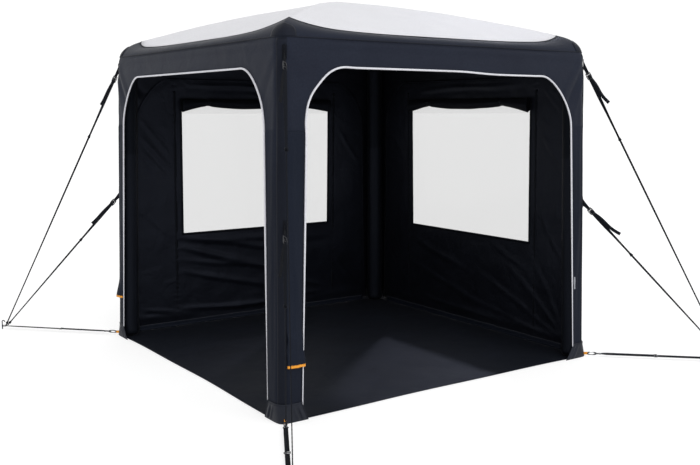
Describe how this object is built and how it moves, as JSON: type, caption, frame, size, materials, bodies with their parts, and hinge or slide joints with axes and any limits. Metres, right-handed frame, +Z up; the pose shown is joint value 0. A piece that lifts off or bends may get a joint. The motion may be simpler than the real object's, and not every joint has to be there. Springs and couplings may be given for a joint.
{
  "type": "camping pavilion",
  "caption": "Square inflatable camping pavilion with open doorways, zipped-in window walls, a low light roof, groundsheet, guys and pegs.",
  "frame": {"origin": "centre of the footprint, on the ground", "axes": "+Z up; the front doorway faces -Y and the other open side faces -X"},
  "size_m": [3.743, 4.0642, 2.3836],
  "materials": {
    "outer_fabric": "matte coated polyester",
    "inner_fabric": "matte polyester",
    "roof_fabric": "satin coated polyester",
    "floor_sheet": "coated groundsheet cloth",
    "beam_fabric": "woven sleeve",
    "foot_fabric": "heavy reinforced cloth",
    "window_film": "clear soft film",
    "webbing": "woven webbing",
    "peg_steel": "plated steel",
    "hub_plastic": "moulded"
  },
  "bodies": {
    "root": {"groundsheet": "floor_sheet", "foot_near": "foot_fabric", "leg_cover_near": "outer_fabric", "air_beam_near": "beam_fabric", "foot_right": "foot_fabric", "leg_cover_right": "outer_fabric", "air_beam_right": "beam_fabric", "foot_far": "foot_fabric", "leg_cover_far": "outer_fabric", "air_beam_far": "beam_fabric", "foot_left": "foot_fabric", "leg_cover_left": "outer_fabric", "air_beam_left": "beam_fabric", "crown_hub": "hub_plastic", "skirt_front": "outer_fabric", "border_front": "outer_fabric", "roof_panel_front": "roof_fabric", "skirt_right": "outer_fabric", "border_right": "outer_fabric", "roof_panel_right": "roof_fabric", "skirt_back": "outer_fabric", "border_back": "outer_fabric", "roof_panel_back": "roof_fabric", "skirt_left": "outer_fabric", "border_left": "outer_fabric", "roof_panel_left": "roof_fabric", "back_wall_lower": "inner_fabric", "back_wall_strip_a": "inner_fabric", "back_wall_strip_b": "inner_fabric", "back_wall_header": "inner_fabric", "back_wall_blind": "inner_fabric", "back_wall_window": "window_film", "right_wall_lower": "inner_fabric", "right_wall_strip_a": "inner_fabric", "right_wall_strip_b": "inner_fabric", "right_wall_header": "inner_fabric", "right_wall_blind": "inner_fabric", "right_wall_window": "window_film", "guy_upper_near": "webbing", "guy_mid_near": "webbing", "ground_strap_near": "webbing", "peg_near": "peg_steel", "guy_upper_right": "webbing", "guy_mid_right": "webbing", "ground_strap_right": "webbing", "peg_right": "peg_steel", "guy_upper_far": "webbing", "guy_mid_far": "webbing", "ground_strap_far": "webbing", "peg_far": "peg_steel", "guy_upper_left": "webbing", "guy_mid_left": "webbing", "ground_strap_left": "webbing", "peg_left": "peg_steel"}
  },
  "joints": []
}
